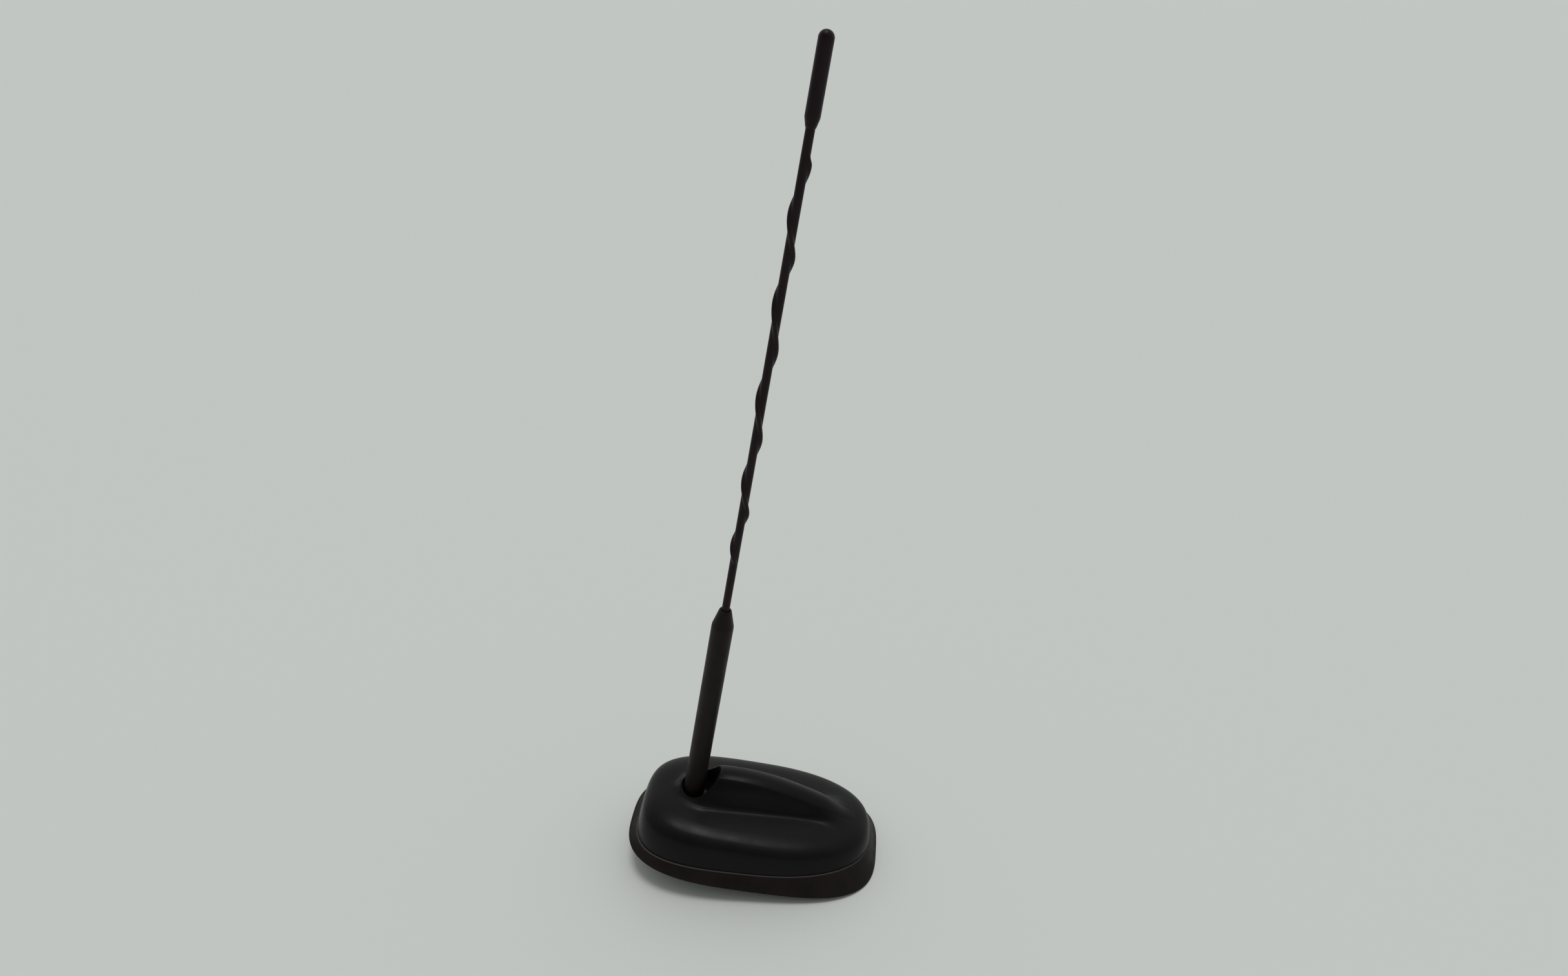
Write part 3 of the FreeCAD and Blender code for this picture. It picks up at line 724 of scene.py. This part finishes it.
FINISHES = {
    # the cover's pocket gets painted light
    "cover_plastic": dict(colour=(0.0062, 0.0055, 0.0062), roughness=0.34, spread=0.16, patch=0.03,
                          grain=0.0004, bump=0.3, fleck=0.05, scratch=0.6, specular=0.115, pocket_light_painted=True),
    # the skirt's lip gets a painted highlight
    "gasket_rubber": dict(colour=(0.0088, 0.0055, 0.0048), roughness=0.55, spread=0.3, patch=0.012,
                          bump=0.35, fleck=0.25, fleck_colour=(0.06, 0.045, 0.035), specular=0.16,
                          lip_highlight_painted=True),
    "die_cast": dict(colour=(0.42, 0.42, 0.43), roughness=0.48, metallic=0.9, spread=0.12, patch=0.01,
                     grain=0.0006, bump=0.5, bump_depth=0.00008),
    "seal_rubber": dict(colour=(0.012, 0.012, 0.012), roughness=0.7, grain=0.0002),
    "zinc_steel": dict(colour=(0.52, 0.5, 0.45), roughness=0.35, metallic=1.0, spread=0.1, patch=0.003,
                       scratch=0.8),
    "screw_steel": dict(colour=(0.5, 0.48, 0.44), roughness=0.33, metallic=1.0, spread=0.14, patch=0.002,
                        scratch=0.8),
    "socket_brass": dict(colour=(0.6, 0.43, 0.2), roughness=0.3, metallic=1.0, spread=0.1, patch=0.004,
                         scratch=0.5),
    "pin_brass": dict(colour=(0.7, 0.5, 0.2), roughness=0.25, metallic=1.0, spread=0.08, patch=0.002),
    "stud_brass": dict(colour=(0.55, 0.4, 0.2), roughness=0.32, metallic=1.0, spread=0.12, patch=0.003,
                       scratch=0.5),
    "white_insulator": dict(colour=(0.75, 0.73, 0.68), roughness=0.5, spread=0.05, patch=0.004),
    "grey_insulator": dict(colour=(0.06, 0.06, 0.065), roughness=0.5, spread=0.1, patch=0.005),
    "board": dict(colour=(0.02, 0.09, 0.04), roughness=0.35, spread=0.15, patch=0.004, fleck=0.3,
                  fleck_colour=(0.25, 0.35, 0.2)),
    "tin_steel": dict(colour=(0.6, 0.6, 0.58), roughness=0.3, metallic=1.0, spread=0.08, patch=0.004,
                      scratch=0.6),
    "coil_wire": dict(colour=(0.5, 0.2, 0.08), roughness=0.3, metallic=1.0, spread=0.12, patch=0.002),
    "capacitor_can": dict(colour=(0.6, 0.6, 0.62), roughness=0.28, metallic=1.0, spread=0.07, patch=0.002),
    "chip_plastic": dict(colour=(0.012, 0.012, 0.013), roughness=0.45, spread=0.15, patch=0.002),
    "collar_plastic": dict(colour=(0.02, 0.02, 0.021), roughness=0.5, spread=0.15, patch=0.005),
    "resistor": dict(colour=(0.02, 0.018, 0.018), roughness=0.4, spread=0.2, patch=0.001),
    "clip_bronze": dict(colour=(0.58, 0.35, 0.16), roughness=0.3, metallic=1.0, spread=0.1, patch=0.003),
    "fibreglass": dict(colour=(0.55, 0.52, 0.38), roughness=0.4, spread=0.1, patch=0.003),
    "whip_skin": dict(colour=(0.0165, 0.009, 0.0118), roughness=0.42, spread=0.2, grain=0.00035, bump=0.3,
                      fleck=0.08, fleck_colour=(0.06, 0.03, 0.025), scratch=0.5, specular=0.12),
    "grip_rubber": dict(colour=(0.0118, 0.0080, 0.0074), roughness=0.48, spread=0.2, bump=0.3, fleck=0.06,
                        fleck_colour=(0.04, 0.03, 0.026), scratch=0.4, specular=0.14),
    "cap_plastic": dict(colour=(0.013, 0.0052, 0.0075), roughness=0.36, spread=0.15, patch=0.01, bump=0.2,
                        fleck=0.05, specular=0.14),
}
looks = {slot: surface(slot, **finish) for slot, finish in FINISHES.items()}
slot_of_node = {entry["node"]: entry["material_slot"] for entry in frame["record"]["subparts"]}
for node_name, node in nodes.items():
    node.data.materials.clear()
    node.data.materials.append(looks[slot_of_node[node_name]])
for piece, slot in ((cover, "cover_plastic"), (skirt, "gasket_rubber"), (whip, "whip_skin"),
                    (grip, "grip_rubber"), (cap, "cap_plastic")):
    piece.data.materials.append(looks[slot])


# ---- room: floor, camera, lights ---------------------------------------
def room_frame():
    """Moves things given in the room's frame into the object's frame."""
    turn = Matrix.Rotation(ROOM_YAW, 4, "Z") @ Matrix.Rotation(ROOM_TILT, 4, "Y")
    return (Matrix.Translation(ROOM_PLACE) @ turn).inverted()


from_room = room_frame()
# metres from the middle of the floor to its edges
FLOOR_REACH = 14.0


def build_floor():
    reach = FLOOR_REACH
    mesh = bpy.data.meshes.new("floor")
    corners = [(-reach, -reach, 0), (reach, -reach, 0), (reach, reach, 0), (-reach, reach, 0)]
    mesh.from_pydata([from_room @ Vector(c) for c in corners], [], [(0, 1, 2, 3)])
    floor = bpy.data.objects.new("floor", mesh)
    bpy.context.scene.collection.objects.link(floor)
    material = bpy.data.materials.new("floor_look")
    material.use_nodes = True
    shader = material.node_tree.nodes["Principled BSDF"]
    shader.inputs["Base Color"].default_value = (0.70, 0.72, 0.70, 1.0)
    shader.inputs["Roughness"].default_value = 0.75
    shader.inputs["Specular IOR Level"].default_value = 0.2
    mesh.materials.append(material)
    return floor


def room_direction(x, y, z):
    return (from_room.to_3x3() @ Vector((x, y, z))).normalized()


def soft_sun(name, towards, energy, spread):
    """Even light from far off; spread is how wide its source looks, in degrees."""
    data = bpy.data.lights.new(name, "SUN")
    data.energy = energy
    data.angle = math.radians(spread)
    light = bpy.data.objects.new(name, data)
    bpy.context.scene.collection.objects.link(light)
    light.rotation_mode = "QUATERNION"
    light.rotation_quaternion = (-room_direction(*towards)).to_track_quat("-Z", "Y")
    return light


def build_world():
    """Pale surroundings, brightest behind the object and dimmest on the camera's side."""
    world = bpy.data.worlds.new("studio")
    world.use_nodes = True
    tree = world.node_tree
    direction = tree.nodes.new("ShaderNodeTexCoord").outputs["Generated"]
    facing = tree.nodes.new("ShaderNodeVectorMath")
    facing.operation = "DOT_PRODUCT"
    facing.inputs[1].default_value = room_direction(0.35, 1.0, 0.1)
    tree.links.new(direction, facing.inputs[0])
    level = tree.nodes.new("ShaderNodeMapRange")
    level.inputs["From Min"].default_value = -0.9
    level.inputs["From Max"].default_value = 0.8
    level.inputs["To Min"].default_value = WORLD_DIM
    level.inputs["To Max"].default_value = WORLD_BRIGHT
    tree.links.new(facing.outputs["Value"], level.inputs["Value"])
    background = tree.nodes["Background"]
    background.inputs["Color"].default_value = (0.975, 1.0, 0.985, 1.0)
    tree.links.new(level.outputs["Result"], background.inputs["Strength"])
    bpy.context.scene.world = world


build_floor()
build_world()
soft_sun("overhead", (0.0, 0.03, 1.0), 0.85, 20.0)
scene = bpy.context.scene

camera_data = bpy.data.cameras.new("camera")
camera_data.lens = CAMERA_LENS
camera_data.sensor_width = 36.0
camera_data.clip_start = 0.01
camera_data.clip_end = 60.0
camera = bpy.data.objects.new("camera", camera_data)
scene.collection.objects.link(camera)
aim = Euler([math.radians(a) for a in CAMERA_TURN], "XYZ").to_matrix().to_4x4()
camera.matrix_world = from_room @ Matrix.Translation(Vector((0, 0, CAMERA_HEIGHT))) @ aim
scene.camera = camera
scene.view_settings.view_transform = "Standard"
